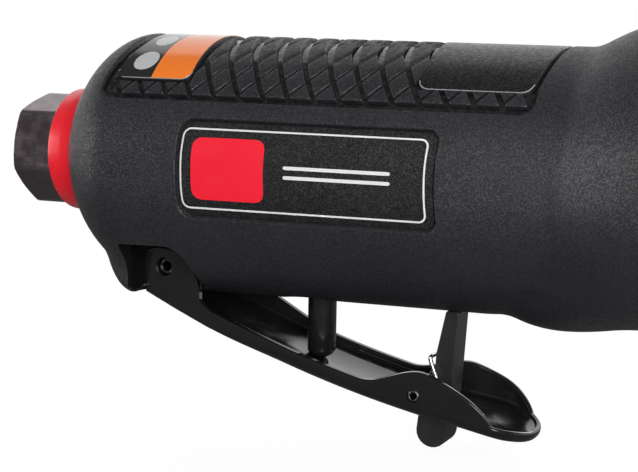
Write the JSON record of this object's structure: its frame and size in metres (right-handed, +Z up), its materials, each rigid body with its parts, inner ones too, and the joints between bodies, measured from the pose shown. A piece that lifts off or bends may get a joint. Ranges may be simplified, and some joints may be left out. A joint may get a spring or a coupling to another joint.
{
  "type": "die grinder",
  "caption": "Straight air die grinder: composite grip with flared hand stop, hex air inlet with red collar, throttle lever with safety catch, nose cap and collet.",
  "frame": {"origin": "centre of the air inlet's mouth, on the motor axis", "axes": "+X along the motor axis from the inlet to the collet, +Z up, away from the throttle lever"},
  "size_m": [0.1583, 0.0484, 0.0686],
  "materials": {
    "composite": "charcoal black moulded composite with a fine grain",
    "pad": "black textured grip pad",
    "label": "black label with a thin white border",
    "orange_patch": "plain orange and black patch",
    "dark_patch": "plain dark patch with a silver edge",
    "gunmetal": "blackened steel, worn on the flats",
    "red": "glossy red",
    "steel": "ground steel",
    "alloy": "machined aluminium",
    "seal": "black rubber",
    "felt": "grey felt",
    "exhaust": "black moulded plastic",
    "brass": "turned brass",
    "pin_steel": "rolled spring steel pin",
    "wire": "bright spring wire",
    "lever_black": "gloss black painted sheet steel",
    "catch_black": "satin black steel",
    "stem_black": "polished black stem",
    "vane": "brown laminated vane"
  },
  "bodies": {
    "housing": {"grip_housing": "composite", "grip_pad": "pad", "side_label_near": "label", "side_label_far": "label", "rear_top_patch": "orange_patch", "front_top_patch": "dark_patch", "inlet_bushing": "gunmetal", "inlet_collar": "red", "inlet_screen": "steel", "inlet_oring": "seal", "exhaust_felt": "felt", "exhaust_ring": "exhaust", "cylinder_liner": "steel", "rear_end_plate": "alloy", "front_end_plate": "alloy", "rear_bearing": "steel", "front_bearing": "steel", "locating_pin": "steel", "nose_cap": "steel", "nose_seal": "seal", "valve_bush": "brass", "valve_seat": "seal", "stem_oring": "seal", "lever_pin": "pin_steel", "valve_spring": "wire"},
    "lever": {"throttle_lever": "lever_black", "catch_pin": "pin_steel"},
    "catch": {"safety_catch": "catch_black", "catch_spring": "wire"},
    "valve": {"valve_stem": "stem_black"},
    "rotor": {"rotor": "steel", "spindle": "steel", "rotor_vanes": "vane", "collet": "steel"},
    "nut": {"collet_nut": "gunmetal"}
  },
  "joints": [
    {"name": "lever_press", "type": "hinge", "parent": "housing", "child": "lever", "pos_m": [0.03025, 0, -0.018], "axis": [0, -1, 0], "range_deg": [0, 6], "stiffness_Nm_per_rad": 2},
    {"name": "catch_fold", "type": "hinge", "parent": "lever", "child": "catch", "pos_m": [0.07465, 0, -0.03474], "axis": [0, -1, 0], "range_deg": [0, 66.5]},
    {"name": "valve_slide", "type": "slide", "parent": "housing", "child": "valve", "axis": [0, 0, 1], "range_m": [0, 0.00296], "deforming": ["valve_spring"]},
    {"name": "rotor_spin", "type": "hinge", "parent": "housing", "child": "rotor", "pos_m": [0, 0, 0], "axis": [1, 0, 0], "continuous": true},
    {"name": "collet_nut_turn", "type": "hinge", "parent": "rotor", "child": "nut", "pos_m": [0, 0, 0], "axis": [1, 0, 0], "range_deg": [0, 360]}
  ],
  "couplings": [
    {"joint": "lever_press", "follows": "valve_slide", "rad_per_m": 35.336},
    {"joint": "catch_fold", "follows": "valve_slide", "rad_per_m": 388.69}
  ]
}
